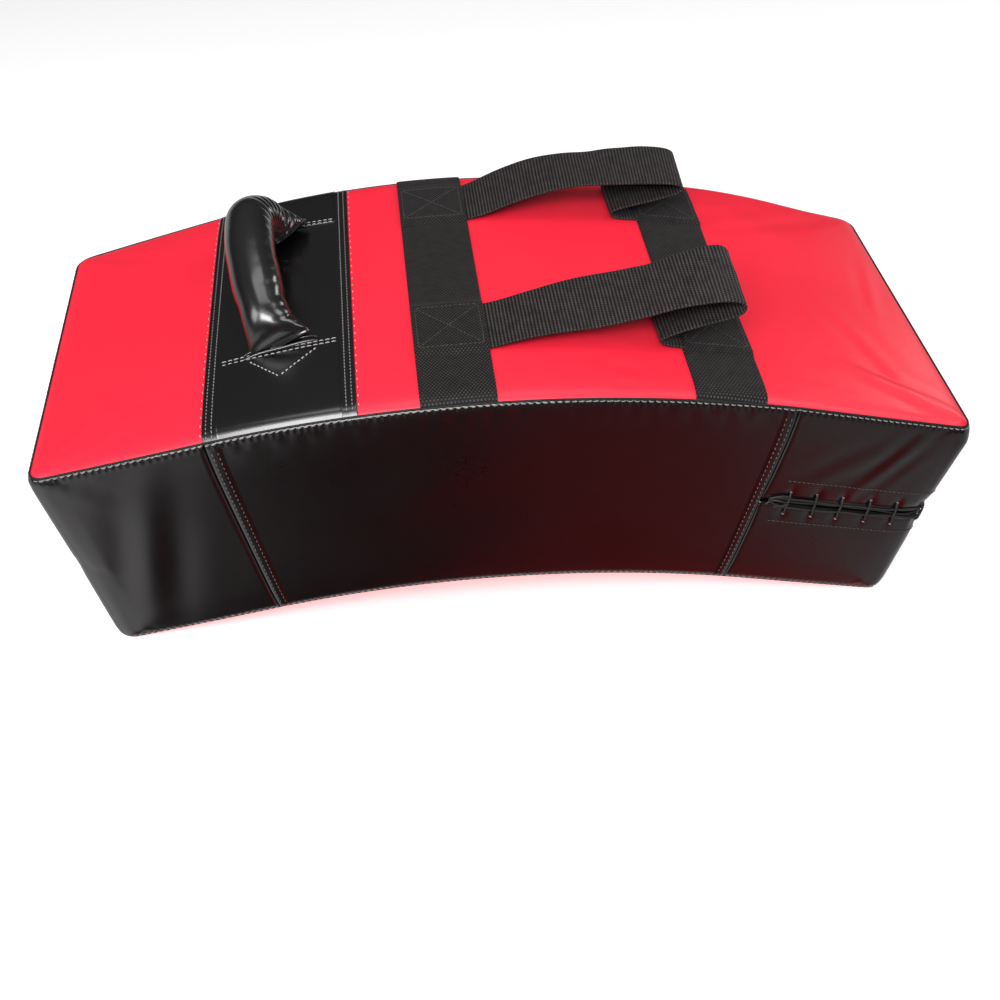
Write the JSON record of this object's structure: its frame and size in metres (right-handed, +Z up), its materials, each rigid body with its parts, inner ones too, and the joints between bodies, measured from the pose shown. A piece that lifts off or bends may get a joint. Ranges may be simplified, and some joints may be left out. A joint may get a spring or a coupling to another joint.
{
  "type": "curved kick shield",
  "caption": "Arched foam striking shield with a padded carrying handle and webbing arm loops on its convex back, standing on its two end edges.",
  "frame": {"origin": "on the floor under the middle of the pad, which stands on its two end edges with the convex back up", "axes": "+X along the length towards the laced end, +Y across the width away from the side with the V-stitched handle end, +Z up"},
  "size_m": [0.6, 0.2809, 0.239],
  "materials": {
    "pu_red": "soft satin red synthetic leather",
    "pu_black": "semi-gloss black synthetic leather",
    "webbing": "matt ribbed black polypropylene webbing",
    "lace": "matt braided black cord",
    "welt": "semi-gloss black synthetic leather edge",
    "foam_soft": "open-cell sponge",
    "foam_core": "closed-cell polyethylene foam",
    "foam_dense": "dense EVA foam"
  },
  "bodies": {
    "pad": {"foam_back_layer": "foam_soft", "foam_core": "foam_core", "foam_strike_layer": "foam_dense", "back_panel_left": "pu_red", "back_panel_main": "pu_red", "strike_panel": "pu_red", "handle_band": "pu_black", "handle_patch_near": "pu_black", "handle_patch_far": "pu_black", "gusset_front": "pu_black", "gusset_rear": "pu_black", "gusset_end_left": "pu_black", "gusset_end_right_upper": "pu_black", "gusset_end_right_lower": "pu_black", "lacing_facing": "pu_black", "lacing_cord": "lace", "welt_back": "welt", "welt_strike": "welt", "base_strap_left": "webbing", "base_strap_right": "webbing", "arm_loop_near_ends": "webbing", "arm_loop_far_ends": "webbing", "handle_tab_near": "pu_black", "handle_tab_far": "pu_black"},
    "near_loop": {"arm_loop_near": "webbing"},
    "far_loop": {"arm_loop_far": "webbing"},
    "handle": {"handle_cover": "pu_black", "handle_foam": "foam_dense", "handle_webbing": "webbing"}
  },
  "joints": [
    {"name": "handle_swing", "type": "hinge", "parent": "pad", "child": "handle", "pos_m": [-0.14333, 0.015, 0.18143], "axis": [0, 1, 0], "range_deg": [-26, 60]},
    {"name": "near_loop_lean", "type": "hinge", "parent": "pad", "child": "near_loop", "pos_m": [-0.01261, -0.066, 0.19441], "axis": [0.9983, 0, -0.0584], "range_deg": [-20, 20]},
    {"name": "far_loop_lean", "type": "hinge", "parent": "pad", "child": "far_loop", "pos_m": [-0.01261, 0.094, 0.19441], "axis": [0.9983, 0, -0.0584], "range_deg": [-20, 20]}
  ]
}
